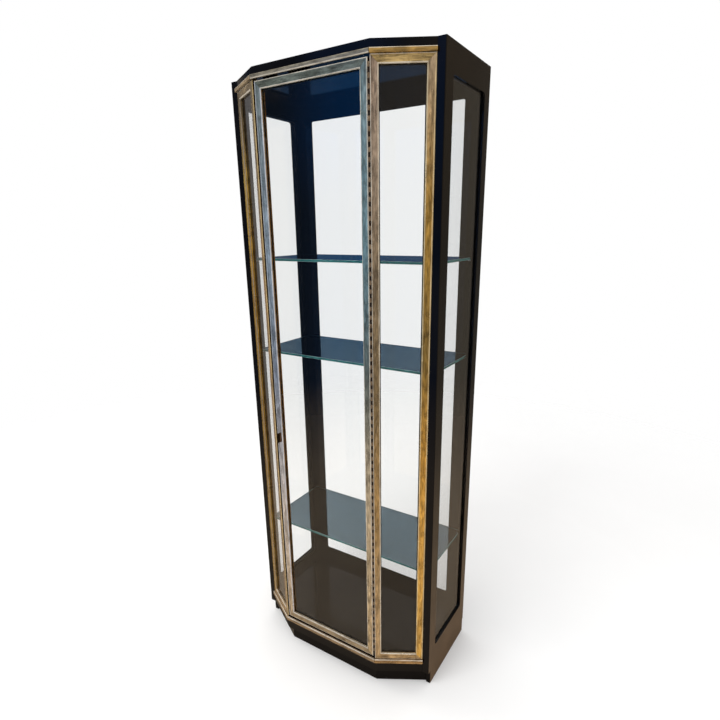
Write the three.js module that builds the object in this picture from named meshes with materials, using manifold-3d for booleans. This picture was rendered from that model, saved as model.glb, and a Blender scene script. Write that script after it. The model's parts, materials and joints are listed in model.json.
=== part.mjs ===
// Tall display cabinet in black lacquer and brass, built as separate pieces.
// Millimetres, +Z up, +Y towards the back, +X towards the hinge side of the door.
// The origin is on the floor, under the middle of the cabinet.
// In plan the front has three facets: a square-on door between two angled windows.
// A facet has its own frame: u runs along it, depth runs into the cabinet, z is up.

import * as THREE from 'three';
import { mergeVertices } from 'three/addons/utils/BufferGeometryUtils.js';
import Module from 'manifold-3d';

const wasm = await Module();
wasm.setup();

// ---- Driving dimensions -------------------------------------------------------

const WIDTH = 730;
const HEIGHT = 2000;
const FRONT_DEPTH = 400; // back to the door facet, without the brass trim
const DOOR_FACET = 394; // width of the middle facet
const FACET_ANGLE = THREE.MathUtils.degToRad(30);
const GAP = 0.3; // between pieces that touch
const ARC_STEPS = 4; // segments in a small rounded edge

const SIDE_THICKNESS = 24;
const SIDE_EDGE_RADIUS = 3;
const PLINTH_HEIGHT = 58;
const PLINTH_BOARD = 16;
const PLINTH_FRONT_INSET = 19.5;
const PLINTH_SIDE_INSET = 1.5;
const DECK_TOP = 112;
const CEILING = 1967.5;

const HEADER = { bottom: 1967.5, top: 1979, proud: 8, radius: 3 };
const SILL = { bottom: 96, top: 112, proud: 7, radius: 3 };

const FRAME_WIDTH = 23; // face width of every stile and rail
const FRAME_THICKNESS = 18;
const FRAME_PROUD = 1.25; // how far the frames stand in front of the facets
const FRAME_RADIUS = 3;
const FRAME_LIP = 8; // thickness of the lip in front of the glass
const FRAME_REBATE = 7; // width of the lip that holds the glass
const BEAD = { show: 2, corner: 6 }; // how far the bead shows inside the lip
const DOOR_BOTTOM = 119.5;
const DOOR_TOP = 1962;
const DOOR_SIDE_GAP = 7; // between the door and the angled frames
const GLASS = 4;

const PULL = { bottom: 844, top: 879, width: 19.5, depth: 12, rise: 10.7 };

const SIDE_WINDOW = { rear: 38, front: 268, bottom: 146, top: 1925, radius: 10 };
const SIDE_LIP = 6.5;
const SIDE_REBATE = 8;
const REBATE_RADIUS = 4;

const BACK_THICKNESS = 8;
const BACK_WINDOW = { half: 290, bottom: 160, top: 1925, radius: 6 };
const BACK_REBATE = 8;

const SHELF_THICKNESS = 8;
const SHELF_TOPS = { top: 1463.5, middle: 1144, bottom: 457.5 };
const SHELF_FRONT = 298; // distance of the shelves' front edge from the back
const SHELF_CORNER = 3;
const PIN = { radius: 2.5, collar: 4.5, collarWidth: 1.5, reach: 11, insert: 9, sides: 12 };
const PIN_DEPTHS = { front: 284, rear: 24 };

const KNUCKLE_RADIUS = 3;
const KNUCKLE_COUNT = 24;
const KNUCKLE_SIDES = 10;
const LEAF_THICKNESS = 1.2;
const LEAF_DEPTH = 12;
const WEB_STEP = 0.1; // the web that joins a knuckle to its leaf is this much smaller all round
const HINGE_PIN_RADIUS = 1.3;
const HINGE_DEPTH = 0.5; // the pin's axis lies this far behind the front of the carcass

const CATCH = { x: -150, width: 44, height: 16, depth: 14 };
const STRIKE = { width: 40, height: 14, thickness: 1.2 };

// ---- Derived sizes ------------------------------------------------------------

const HALF_WIDTH = WIDTH / 2;
const INNER_HALF = HALF_WIDTH - SIDE_THICKNESS;
const DOOR_HALF_FACET = DOOR_FACET / 2;
const FACET_RUN = INNER_HALF - DOOR_HALF_FACET;
const SIDE_DEPTH = FRONT_DEPTH - FACET_RUN * Math.tan(FACET_ANGLE);
const FACET_LENGTH = FACET_RUN / Math.cos(FACET_ANGLE);
const BACK_Y = (FRONT_DEPTH + HEADER.proud) / 2;
const MITRE = Math.tan(FACET_ANGLE / 2);
const FRAME_BOTTOM = DECK_TOP + GAP;
const FRAME_TOP = CEILING - GAP;
const DOOR_HALF = DOOR_HALF_FACET - DOOR_SIDE_GAP;
const HINGE_X = DOOR_HALF_FACET - DOOR_SIDE_GAP / 2;

/** World Y of a point that lies a given distance in front of the cabinet's back. */
const fromBack = (distance) => BACK_Y - distance;

const HINGE_Y = fromBack(FRONT_DEPTH - HINGE_DEPTH);

// ---- Materials ----------------------------------------------------------------

const FINISHES = {
  lacquer: { color: 0x0b0b10, roughness: 0.08, metalness: 0 },
  brass: { color: 0xb5934f, roughness: 0.25, metalness: 1 },
  glass: { color: 0xdfeee8, roughness: 0.02, metalness: 0, transparent: true, opacity: 0.2 },
  shelfGlass: { color: 0x9fd8c6, roughness: 0.02, metalness: 0, transparent: true, opacity: 0.3 },
  bead: { color: 0x111114, roughness: 0.5, metalness: 0 },
  hinge: { color: 0x6b5430, roughness: 0.4, metalness: 1 },
  steel: { color: 0xb9bcc0, roughness: 0.3, metalness: 1 },
  plastic: { color: 0x2a2522, roughness: 0.6, metalness: 0 },
};

const cabinet = new THREE.Group();

/** Adds one named piece, with a material of its own. */
function addPiece(name, geometry, finish, parent = cabinet) {
  const material = new THREE.MeshStandardMaterial(FINISHES[finish]);
  const mesh = new THREE.Mesh(geometry, material);
  mesh.name = name;
  parent.add(mesh);
  return mesh;
}

// ---- Geometry helpers ---------------------------------------------------------

/** A copy of a geometry that keeps only its shape and shares its corners. */
function welded(geometry) {
  const bare = geometry.clone();
  bare.deleteAttribute('normal');
  bare.deleteAttribute('uv');
  return mergeVertices(bare, 1e-4);
}

/** A closed manifold solid from a three.js geometry. */
function toSolid(geometry) {
  const merged = welded(geometry);
  const vertProperties = new Float32Array(merged.attributes.position.array);
  const triVerts = new Uint32Array(merged.index.array);
  return new wasm.Manifold(new wasm.Mesh({ numProp: 3, vertProperties, triVerts }));
}

/** A three.js geometry from a manifold solid. */
function toGeometry(solid) {
  const mesh = solid.getMesh();
  const geometry = new THREE.BufferGeometry();
  geometry.setAttribute('position', new THREE.BufferAttribute(mesh.vertProperties, 3));
  geometry.setIndex(new THREE.BufferAttribute(mesh.triVerts, 1));
  return geometry;
}

/** Cuts the tools out of a geometry. */
function cutOut(geometry, ...tools) {
  let solid = toSolid(geometry);
  for (const tool of tools) {
    solid = solid.subtract(toSolid(tool));
  }
  return toGeometry(solid);
}

/** Joins overlapping geometries into one body. */
function join(first, ...others) {
  let solid = toSolid(first);
  for (const other of others) {
    solid = solid.add(toSolid(other));
  }
  return toGeometry(solid);
}

/** Keeps what two geometries share. */
function common(first, second) {
  return toGeometry(toSolid(first).intersect(toSolid(second)));
}

/** A rectangle with rounded corners, as a Shape or as a Path for a hole. */
function roundedRectangle(x0, y0, x1, y1, radius, Kind = THREE.Shape) {
  const outline = new Kind();
  outline.moveTo(x0 + radius, y0);
  outline.lineTo(x1 - radius, y0);
  outline.absarc(x1 - radius, y0 + radius, radius, -Math.PI / 2, 0, false);
  outline.absarc(x1 - radius, y1 - radius, radius, 0, Math.PI / 2, false);
  outline.absarc(x0 + radius, y1 - radius, radius, Math.PI / 2, Math.PI, false);
  outline.absarc(x0 + radius, y0 + radius, radius, Math.PI, 1.5 * Math.PI, false);
  return outline;
}

/** A flat plate of the given shape, from z = 0 to z = thickness. */
function plate(shape, thickness) {
  return new THREE.ExtrudeGeometry(shape, {
    depth: thickness,
    bevelEnabled: false,
    curveSegments: ARC_STEPS,
  });
}

/** A vertical prism over a plan outline given as [x, y] corners. */
function prism(corners, bottom, top) {
  const shape = new THREE.Shape(corners.map(([x, y]) => new THREE.Vector2(x, y)));
  return plate(shape, top - bottom).translate(0, 0, bottom);
}

/** A box between two corners. */
function box(x0, y0, z0, x1, y1, z1) {
  const geometry = new THREE.BoxGeometry(x1 - x0, y1 - y0, z1 - z0);
  return geometry.translate((x0 + x1) / 2, (y0 + y1) / 2, (z0 + z1) / 2);
}

/** A bar with the given section, whose two ends follow functions of the section's place. */
function bar(section, startAt, endAt) {
  const geometry = plate(section, 1);
  const position = geometry.attributes.position;
  for (let i = 0; i < position.count; i += 1) {
    const a = position.getX(i);
    const b = position.getY(i);
    position.setZ(i, position.getZ(i) < 0.5 ? startAt(a, b) : endAt(a, b));
  }
  return geometry;
}

/** Places a bar: a, b and its length run along the given directions from the origin. */
function placeBar(geometry, aDirection, bDirection, origin) {
  const length = new THREE.Vector3().crossVectors(aDirection, bDirection);
  const matrix = new THREE.Matrix4().makeBasis(aDirection, bDirection, length);
  matrix.setPosition(origin);
  return geometry.applyMatrix4(matrix);
}

const RIGHT = new THREE.Vector3(1, 0, 0);
const LEFT = new THREE.Vector3(-1, 0, 0);
const UP = new THREE.Vector3(0, 0, 1);
const DOWN = new THREE.Vector3(0, 0, -1);
const OUTWARD = new THREE.Vector3(0, -1, 0);

// ---- Plan of the cabinet ------------------------------------------------------

/** The three facets: place of the middle of each, its turn, and its half length. */
const FACETS = {
  left: { side: -1, angle: -FACET_ANGLE, half: FACET_LENGTH / 2 },
  center: { side: 0, angle: 0, half: DOOR_HALF_FACET },
  right: { side: 1, angle: FACET_ANGLE, half: FACET_LENGTH / 2 },
};

/** A group whose own X runs along a facet and whose own Y runs into the cabinet. */
function facetGroup({ side, angle }) {
  const group = new THREE.Group();
  const middleX = (DOOR_HALF_FACET + INNER_HALF) / 2;
  const middleDepth = (FRONT_DEPTH + SIDE_DEPTH) / 2;
  group.position.x = side * middleX;
  group.position.y = fromBack(side === 0 ? FRONT_DEPTH : middleDepth);
  group.rotation.z = angle;
  cabinet.add(group);
  return group;
}

const facetGroups = Object.fromEntries(
  Object.entries(FACETS).map(([name, facet]) => [name, facetGroup(facet)]),
);

/** Plan corner where the side and middle facets meet, moved inward by an inset. */
function insetCorner(inset) {
  return [DOOR_HALF_FACET - inset * MITRE, fromBack(FRONT_DEPTH - inset)];
}

/** Plan point where an angled facet, moved inward by an inset, reaches a given x. */
function insetFacetAt(x, inset) {
  const [cornerX, cornerY] = insetCorner(inset);
  return [x, cornerY + (x - cornerX) * Math.tan(FACET_ANGLE)];
}

/** Mirrors plan corners to the other side and keeps their order around the outline. */
function withMirror(corners) {
  const mirrored = corners.map(([x, y]) => [-x, y]).reverse();
  return [...corners, ...mirrored];
}

// ---- Carcass ------------------------------------------------------------------

function addFacetedPanel(name, bottom, top, rear) {
  const half = INNER_HALF - GAP;
  const corners = withMirror([
    [half, fromBack(rear)],
    insetFacetAt(half, 0),
    insetCorner(0),
  ]);
  addPiece(name, prism(corners, bottom, top), 'lacquer');
}

/** The window of a side board, as a shape in depth from the back and height. */
function sideWindow(grow, radius, Kind) {
  const { rear, front, bottom, top } = SIDE_WINDOW;
  return roundedRectangle(rear - grow, bottom - grow, front + grow, top + grow, radius, Kind);
}

/** Stands a plate drawn in depth and height on the right side, thickening inward from outerX. */
function placeSidePlate(geometry, outerX) {
  const matrix = new THREE.Matrix4().makeBasis(OUTWARD, UP, LEFT);
  return geometry.applyMatrix4(matrix).translate(outerX, BACK_Y, 0);
}

/** Mirrors a geometry in x and keeps its faces pointing out. */
function mirrorX(geometry) {
  const mirrored = welded(geometry).scale(-1, 1, 1);
  mirrored.index.array.reverse();
  return mirrored;
}

/** A copy of a right-hand geometry for the given side. */
function forSide(geometry, side) {
  return side > 0 ? geometry : mirrorX(geometry);
}

function pinPlaces() {
  const places = [];
  for (const [level, shelfTop] of Object.entries(SHELF_TOPS)) {
    for (const [row, depth] of Object.entries(PIN_DEPTHS)) {
      const z = shelfTop - SHELF_THICKNESS - GAP - PIN.radius;
      places.push({ level, row, y: fromBack(depth), z });
    }
  }
  return places;
}

function sidePanelGeometry() {
  const outer = new THREE.Shape();
  outer.moveTo(0, PLINTH_HEIGHT);
  outer.lineTo(SIDE_DEPTH, PLINTH_HEIGHT);
  outer.lineTo(SIDE_DEPTH, HEIGHT);
  outer.lineTo(0, HEIGHT);
  const inner = outer.clone();
  outer.holes.push(sideWindow(0, SIDE_WINDOW.radius, THREE.Path));
  inner.holes.push(sideWindow(SIDE_REBATE, REBATE_RADIUS, THREE.Path));
  const lip = placeSidePlate(plate(outer, SIDE_LIP), HALF_WIDTH);
  const rebatedPlate = plate(inner, SIDE_THICKNESS - SIDE_LIP);
  const rebated = placeSidePlate(rebatedPlate, HALF_WIDTH - SIDE_LIP);

  const envelope = new THREE.Shape();
  const frontY = fromBack(SIDE_DEPTH);
  const radius = SIDE_EDGE_RADIUS;
  envelope.moveTo(INNER_HALF - 1, BACK_Y + 1);
  envelope.lineTo(INNER_HALF - 1, frontY);
  envelope.lineTo(HALF_WIDTH - radius, frontY);
  envelope.absarc(HALF_WIDTH - radius, frontY + radius, radius, -Math.PI / 2, 0, false);
  envelope.lineTo(HALF_WIDTH, BACK_Y + 1);
  const rounded = common(join(lip, rebated), plate(envelope, HEIGHT + 1));

  const holes = pinPlaces().map(({ y, z }) => {
    const hole = new THREE.CylinderGeometry(
      PIN.radius + GAP,
      PIN.radius + GAP,
      2 * (PIN.insert + GAP),
      PIN.sides,
    );
    return hole.rotateZ(Math.PI / 2).translate(INNER_HALF, y, z);
  });
  return cutOut(rounded, ...holes);
}

function sideGlassGeometry() {
  const pane = plate(sideWindow(SIDE_REBATE - GAP, REBATE_RADIUS - GAP, THREE.Shape), GLASS);
  return placeSidePlate(pane, HALF_WIDTH - SIDE_LIP - GAP);
}

function sideBeadGeometry() {
  const ring = sideWindow(SIDE_REBATE - GAP, REBATE_RADIUS - GAP, THREE.Shape);
  ring.holes.push(sideWindow(0, SIDE_WINDOW.radius, THREE.Path));
  const start = HALF_WIDTH - SIDE_LIP - GLASS - 2 * GAP;
  return placeSidePlate(plate(ring, start - INNER_HALF), start);
}

function addSides() {
  for (const [name, side] of [['left', -1], ['right', 1]]) {
    addPiece(`side_panel_${name}`, forSide(sidePanelGeometry(), side), 'lacquer');
    addPiece(`side_glass_${name}`, forSide(sideGlassGeometry(), side), 'glass');
    addPiece(`side_bead_${name}`, forSide(sideBeadGeometry(), side), 'bead');
  }
}

/** Stands a plate drawn in x and height upright, from one distance off the back to another. */
function placeBackPlate(geometry, frontDistance) {
  const matrix = new THREE.Matrix4().makeBasis(LEFT, UP, new THREE.Vector3(0, 1, 0));
  return geometry.applyMatrix4(matrix).translate(0, fromBack(frontDistance), 0);
}

function backWindow(grow, radius, Kind) {
  const { half, bottom, top } = BACK_WINDOW;
  return roundedRectangle(-half - grow, bottom - grow, half + grow, top + grow, radius, Kind);
}

function addBack() {
  const half = INNER_HALF - GAP;
  const bottom = PLINTH_HEIGHT + GAP;
  const lipThickness = BACK_THICKNESS - GLASS - GAP;
  const outline = () => roundedRectangle(-half, bottom, half, CEILING - GAP, 1);
  const lip = outline();
  lip.holes.push(backWindow(0, BACK_WINDOW.radius, THREE.Path));
  const rebated = outline();
  rebated.holes.push(backWindow(BACK_REBATE, REBATE_RADIUS, THREE.Path));
  const frame = join(
    placeBackPlate(plate(lip, lipThickness), BACK_THICKNESS),
    placeBackPlate(plate(rebated, BACK_THICKNESS - lipThickness), BACK_THICKNESS - lipThickness),
  );
  addPiece('back_frame', frame, 'lacquer');
  const pane = plate(backWindow(BACK_REBATE - GAP, REBATE_RADIUS - GAP, THREE.Shape), GLASS);
  addPiece('back_glass', placeBackPlate(pane, GLASS), 'glass');
}

// ---- Plinth -------------------------------------------------------------------

function addPlinth() {
  const top = PLINTH_HEIGHT - GAP;
  const outerX = HALF_WIDTH - PLINTH_SIDE_INSET;
  const innerX = outerX - PLINTH_BOARD;
  const sideFront = fromBack(SIDE_DEPTH - PLINTH_FRONT_INSET);
  const boardInset = PLINTH_FRONT_INSET + PLINTH_BOARD;
  const seam = GAP / 2;
  const [frontX, frontY] = insetCorner(PLINTH_FRONT_INSET);
  const [rearX, rearY] = insetCorner(boardInset);
  const sideBoard = box(innerX, sideFront, 0, outerX, BACK_Y, top);
  const angledBoard = prism([
    [frontX + seam, frontY + seam * MITRE],
    insetFacetAt(innerX - GAP, PLINTH_FRONT_INSET),
    insetFacetAt(innerX - GAP, boardInset),
    [rearX + seam, rearY + seam * MITRE],
  ], 0, top);
  const middleBoard = prism(withMirror([[frontX - seam, frontY], [rearX - seam, rearY]]), 0, top);
  const rearBoard = box(-innerX + GAP, BACK_Y - PLINTH_BOARD, 0, innerX - GAP, BACK_Y, top);
  for (const [name, side] of [['left', -1], ['right', 1]]) {
    addPiece(`plinth_side_${name}`, forSide(sideBoard, side), 'lacquer');
    addPiece(`plinth_front_${name}`, forSide(angledBoard, side), 'lacquer');
  }
  addPiece('plinth_front_center', middleBoard, 'lacquer');
  addPiece('plinth_back', rearBoard, 'lacquer');
}

// ---- Brass strips above and below the frames ------------------------------------

/** Section of a strip: a is the distance in front of the facet, b is the height. */
function stripSection({ bottom, top, proud, radius }) {
  const section = new THREE.Shape();
  section.moveTo(GAP, bottom);
  section.lineTo(proud - radius, bottom);
  section.absarc(proud - radius, bottom + radius, radius, -Math.PI / 2, 0, false);
  section.absarc(proud - radius, top - radius, radius, 0, Math.PI / 2, false);
  section.lineTo(GAP, top);
  return section;
}

/**
 * A strip is mitred where it meets the next facet, and square at the side boards.
 * Its length runs from its right end to its left end.
 */
function stripGeometry(size, { side, half }) {
  const mitred = (a) => half + a * MITRE - GAP / 2;
  const square = () => half;
  const rightEnd = side > 0 ? square : mitred;
  const leftEnd = side < 0 ? square : mitred;
  const geometry = bar(stripSection(size), (a) => -rightEnd(a), leftEnd);
  return placeBar(geometry, OUTWARD, UP, new THREE.Vector3());
}

function addStrips() {
  for (const [name, facet] of Object.entries(FACETS)) {
    addPiece(`header_strip_${name}`, stripGeometry(HEADER, facet), 'brass', facetGroups[name]);
    addPiece(`sill_strip_${name}`, stripGeometry(SILL, facet), 'brass', facetGroups[name]);
  }
}

// ---- Glazed frames --------------------------------------------------------------

/**
 * Section of a stile or rail: a is the distance from its outer edge towards the glass,
 * b is the distance in front of the facet. The outer edge leans by rearShift at the rear.
 */
function frameSection(rearShift) {
  const front = FRAME_PROUD;
  const rear = FRAME_PROUD - FRAME_THICKNESS;
  const lipRear = FRAME_PROUD - FRAME_LIP;
  const radius = FRAME_RADIUS;
  const lean = (rearShift * radius) / FRAME_THICKNESS;
  const section = new THREE.Shape();
  section.moveTo(rearShift, rear);
  section.lineTo(lean, front - radius);
  section.quadraticCurveTo(0, front, radius, front);
  section.lineTo(FRAME_WIDTH - radius, front);
  section.absarc(FRAME_WIDTH - radius, front - radius, radius, Math.PI / 2, 0, true);
  section.lineTo(FRAME_WIDTH, lipRear);
  section.lineTo(FRAME_WIDTH - FRAME_REBATE, lipRear);
  section.lineTo(FRAME_WIDTH - FRAME_REBATE, rear);
  return section;
}

/** A stile or rail with both ends mitred at 45 degrees. */
function frameMember(outerLength, rearShift, aDirection, origin) {
  const end = (a) => outerLength / 2 - a - GAP / 2;
  const geometry = bar(frameSection(rearShift), (a) => -end(a), end);
  return placeBar(geometry, aDirection, OUTWARD, origin);
}

/** The four members of a frame that spans u0 to u1 and z0 to z1, before trimming. */
function frameMembers({ u0, u1, z0, z1, leftShift = 0, rightShift = 0 }) {
  const width = u1 - u0;
  const height = z1 - z0;
  const middleU = (u0 + u1) / 2;
  const middleZ = (z0 + z1) / 2;
  const at = (u, z) => new THREE.Vector3(u, 0, z);
  return {
    left: frameMember(height, leftShift, RIGHT, at(u0, middleZ)),
    right: frameMember(height, rightShift, LEFT, at(u1, middleZ)),
    top: frameMember(width, 0, DOWN, at(middleU, z1)),
    bottom: frameMember(width, 0, UP, at(middleU, z0)),
  };
}

/** Pane or bead outline in the rebate of a frame, drawn in u and z. */
function rebateOutline({ u0, u1, z0, z1 }, width, corner = 1, Kind = THREE.Shape) {
  return roundedRectangle(u0 + width, z0 + width, u1 - width, z1 - width, corner, Kind);
}

/** Stands a plate drawn in u and z upright, its front at the given depth in the facet. */
function placeInFrame(geometry, thickness, depth) {
  return geometry.rotateX(Math.PI / 2).translate(0, depth + thickness, 0);
}

function frameGlass(size) {
  const outline = rebateOutline(size, FRAME_WIDTH - FRAME_REBATE + GAP);
  const depth = FRAME_LIP - FRAME_PROUD + GAP;
  return placeInFrame(plate(outline, GLASS), GLASS, depth);
}

function frameBead(size) {
  const depth = FRAME_LIP - FRAME_PROUD + GLASS + 2 * GAP;
  const thickness = FRAME_THICKNESS - FRAME_PROUD - depth;
  const outline = rebateOutline(size, FRAME_WIDTH - FRAME_REBATE + GAP);
  outline.holes.push(rebateOutline(size, FRAME_WIDTH + BEAD.show, BEAD.corner, THREE.Path));
  return placeInFrame(plate(outline, thickness), thickness, depth);
}

/** An angled window. Its stiles' outer edges are cut in line with the door and side board. */
function addAngledFrame(name, side) {
  const { half } = FACETS[name];
  const group = facetGroups[name];
  const slope = Math.tan(FACET_ANGLE);
  const frontShift = FRAME_PROUD * slope;
  const doorSide = -half - frontShift;
  const panelSide = half - frontShift - 2 * GAP;
  const rearShift = FRAME_THICKNESS * slope;
  const rightSize = { u0: doorSide, u1: panelSide, z0: FRAME_BOTTOM, z1: FRAME_TOP };
  const members = frameMembers({ ...rightSize, leftShift: rearShift, rightShift: -rearShift });
  const front = -FRAME_PROUD - 1;
  const rear = FRAME_THICKNESS - FRAME_PROUD + 1;
  const edgeAt = (u, depth) => [u + (depth + FRAME_PROUD) * slope, depth];
  const envelope = prism([
    edgeAt(doorSide, front),
    edgeAt(panelSide, front),
    edgeAt(panelSide, rear),
    edgeAt(doorSide, rear),
  ], FRAME_BOTTOM, FRAME_TOP);
  const roles = { left: 'inner_stile', right: 'outer_stile', top: 'top_rail', bottom: 'bottom_rail' };
  for (const [place, role] of Object.entries(roles)) {
    const trimmed = common(members[place], envelope);
    addPiece(`${name}_frame_${role}`, forSide(trimmed, side), 'brass', group);
  }
  addPiece(`${name}_glass`, forSide(frameGlass(rightSize), side), 'glass', group);
  addPiece(`${name}_bead`, forSide(frameBead(rightSize), side), 'bead', group);
}

function addDoor() {
  const group = facetGroups.center;
  const size = { u0: -DOOR_HALF, u1: DOOR_HALF, z0: DOOR_BOTTOM, z1: DOOR_TOP };
  const members = frameMembers(size);
  // The notch for the fingers, whose two ends rise towards the glass.
  const outside = -DOOR_HALF - 1;
  const inside = -DOOR_HALF + PULL.width;
  const notch = new THREE.Shape([
    new THREE.Vector2(outside, PULL.bottom),
    new THREE.Vector2(inside, PULL.bottom + PULL.rise),
    new THREE.Vector2(inside, PULL.top + PULL.rise),
    new THREE.Vector2(outside, PULL.top),
  ]);
  const pocket = placeInFrame(plate(notch, PULL.depth + 1), PULL.depth + 1, -FRAME_PROUD - 1);
  addPiece('door_free_stile', cutOut(members.left, pocket), 'brass', group);
  addPiece('door_hinge_stile', members.right, 'brass', group);
  addPiece('door_top_rail', members.top, 'brass', group);
  addPiece('door_bottom_rail', members.bottom, 'brass', group);
  addPiece('door_glass', frameGlass(size), 'glass', group);
  addPiece('door_bead', frameBead(size), 'bead', group);
}

// ---- Piano hinge ------------------------------------------------------------------

/** One leaf: a thin plate with every second knuckle. side is -1 for the door's leaf. */
function hingeLeaf(side) {
  const bottom = DOOR_BOTTOM + FRAME_WIDTH / 2;
  const top = DOOR_TOP - FRAME_WIDTH / 2;
  const pitch = (top - bottom) / KNUCKLE_COUNT;
  const outer = DOOR_SIDE_GAP / 2 - GAP;
  const inner = outer - LEAF_THICKNESS;
  const plateStart = KNUCKLE_RADIUS + 2 * GAP;
  const [x0, x1] = [side * outer, side * inner].sort((p, q) => p - q);
  const pieces = [box(x0, plateStart, bottom, x1, plateStart + LEAF_DEPTH, top)];
  const first = side < 0 ? 0 : 1;
  for (let i = first; i < KNUCKLE_COUNT; i += 2) {
    const z0 = bottom + i * pitch + GAP / 2;
    const z1 = z0 + pitch - GAP;
    const height = z1 - z0;
    const barrel = new THREE.CylinderGeometry(KNUCKLE_RADIUS, KNUCKLE_RADIUS, height, KNUCKLE_SIDES);
    pieces.push(barrel.rotateX(Math.PI / 2).translate(0, 0, z0 + height / 2));
    const webEnd = plateStart + LEAF_DEPTH / 2;
    pieces.push(box(x0 + WEB_STEP, 0, z0 + WEB_STEP, x1 - WEB_STEP, webEnd, z1 - WEB_STEP));
  }
  const bore = new THREE.CylinderGeometry(
    HINGE_PIN_RADIUS + GAP,
    HINGE_PIN_RADIUS + GAP,
    top - bottom + 2,
    KNUCKLE_SIDES,
  );
  bore.rotateX(Math.PI / 2).translate(0, 0, (bottom + top) / 2);
  return cutOut(join(...pieces), bore).translate(HINGE_X, HINGE_Y, 0);
}

function addHinge() {
  addPiece('hinge_leaf_door', hingeLeaf(-1), 'hinge');
  addPiece('hinge_leaf_frame', hingeLeaf(1), 'hinge');
  const length = DOOR_TOP - DOOR_BOTTOM - FRAME_WIDTH;
  const pin = new THREE.CylinderGeometry(HINGE_PIN_RADIUS, HINGE_PIN_RADIUS, length, KNUCKLE_SIDES);
  pin.rotateX(Math.PI / 2).translate(HINGE_X, HINGE_Y, (DOOR_TOP + DOOR_BOTTOM) / 2);
  addPiece('hinge_pin', pin, 'steel');
}

// ---- Magnetic catch -----------------------------------------------------------------

function addCatch() {
  const group = facetGroups.center;
  const strikeFront = FRAME_THICKNESS - FRAME_PROUD + GAP;
  const strikeRear = strikeFront + STRIKE.thickness;
  const strikeTop = DOOR_TOP - 2;
  const strike = box(
    CATCH.x - STRIKE.width / 2,
    strikeFront,
    strikeTop - STRIKE.height,
    CATCH.x + STRIKE.width / 2,
    strikeRear,
    strikeTop,
  );
  addPiece('catch_strike', strike, 'steel', group);
  const catchTop = CEILING - GAP;
  const body = box(
    CATCH.x - CATCH.width / 2,
    strikeRear + GAP,
    catchTop - CATCH.height,
    CATCH.x + CATCH.width / 2,
    strikeRear + GAP + CATCH.depth,
    catchTop,
  );
  addPiece('catch_body', body, 'plastic', group);
}

// ---- Shelves and their pins -----------------------------------------------------------

function addShelves() {
  const half = INNER_HALF - PIN.collarWidth - 3 * GAP;
  const rear = BACK_THICKNESS + 1;
  for (const [level, shelfTop] of Object.entries(SHELF_TOPS)) {
    const outline = roundedRectangle(
      -half,
      fromBack(SHELF_FRONT),
      half,
      fromBack(rear),
      SHELF_CORNER,
    );
    const shelf = plate(outline, SHELF_THICKNESS).translate(0, 0, shelfTop - SHELF_THICKNESS);
    addPiece(`shelf_${level}`, shelf, 'shelfGlass');
  }
}

/** A shelf pin: a peg in the side board, a collar against it and a peg under the shelf. */
function shelfPinGeometry() {
  const profile = [
    [0, -PIN.insert],
    [PIN.radius, -PIN.insert],
    [PIN.radius, GAP],
    [PIN.collar, GAP],
    [PIN.collar, GAP + PIN.collarWidth],
    [PIN.radius, GAP + PIN.collarWidth],
    [PIN.radius, PIN.reach],
    [0, PIN.reach],
  ].map(([radius, along]) => new THREE.Vector2(radius, along));
  return new THREE.LatheGeometry(profile, PIN.sides);
}

function addShelfPins() {
  for (const { level, row, y, z } of pinPlaces()) {
    for (const [name, side] of [['left', -1], ['right', 1]]) {
      const pin = shelfPinGeometry().rotateZ((side * Math.PI) / 2);
      const mesh = addPiece(`shelf_pin_${level}_${row}_${name}`, pin, 'steel');
      mesh.position.set(side * INNER_HALF, y, z);
    }
  }
}

addSides();
addFacetedPanel('top_panel', CEILING, HEIGHT, 0);
addFacetedPanel('deck_panel', PLINTH_HEIGHT, DECK_TOP, BACK_THICKNESS + GAP);
addBack();
addPlinth();
addStrips();
addAngledFrame('left', -1);
addAngledFrame('right', 1);
addDoor();
addHinge();
addCatch();
addShelves();
addShelfPins();

export default cabinet;
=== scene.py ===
"""Looks for the glass display showcase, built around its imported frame.

Metres, +Z up, door facing -Y. Every piece replaces its CAD node. Most are copies of their
nodes with rounded edges. The piano hinge is remade with its real number of knuckles.
"""

import json
import math

import bmesh
import bpy
from mathutils import Matrix, Vector


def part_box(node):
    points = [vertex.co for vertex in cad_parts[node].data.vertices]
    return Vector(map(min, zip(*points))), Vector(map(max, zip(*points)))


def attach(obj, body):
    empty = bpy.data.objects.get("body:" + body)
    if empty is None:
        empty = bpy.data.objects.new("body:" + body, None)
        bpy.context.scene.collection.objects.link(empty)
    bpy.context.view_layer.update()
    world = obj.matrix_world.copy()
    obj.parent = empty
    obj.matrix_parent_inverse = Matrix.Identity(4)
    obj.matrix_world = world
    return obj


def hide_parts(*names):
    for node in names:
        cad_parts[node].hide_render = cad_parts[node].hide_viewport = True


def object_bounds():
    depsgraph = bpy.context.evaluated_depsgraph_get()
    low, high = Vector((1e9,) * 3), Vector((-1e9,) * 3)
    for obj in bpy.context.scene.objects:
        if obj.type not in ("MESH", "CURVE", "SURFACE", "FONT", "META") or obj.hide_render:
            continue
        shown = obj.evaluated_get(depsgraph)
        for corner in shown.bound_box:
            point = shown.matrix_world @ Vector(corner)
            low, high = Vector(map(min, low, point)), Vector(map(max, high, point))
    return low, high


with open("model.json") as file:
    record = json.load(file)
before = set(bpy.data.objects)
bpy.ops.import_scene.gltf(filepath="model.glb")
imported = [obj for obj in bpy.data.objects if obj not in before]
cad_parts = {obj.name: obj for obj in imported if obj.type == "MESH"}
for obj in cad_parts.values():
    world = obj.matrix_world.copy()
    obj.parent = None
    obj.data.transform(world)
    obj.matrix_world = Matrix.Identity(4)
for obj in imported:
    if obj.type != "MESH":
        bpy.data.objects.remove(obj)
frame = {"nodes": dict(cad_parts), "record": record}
cad_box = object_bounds()
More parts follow.
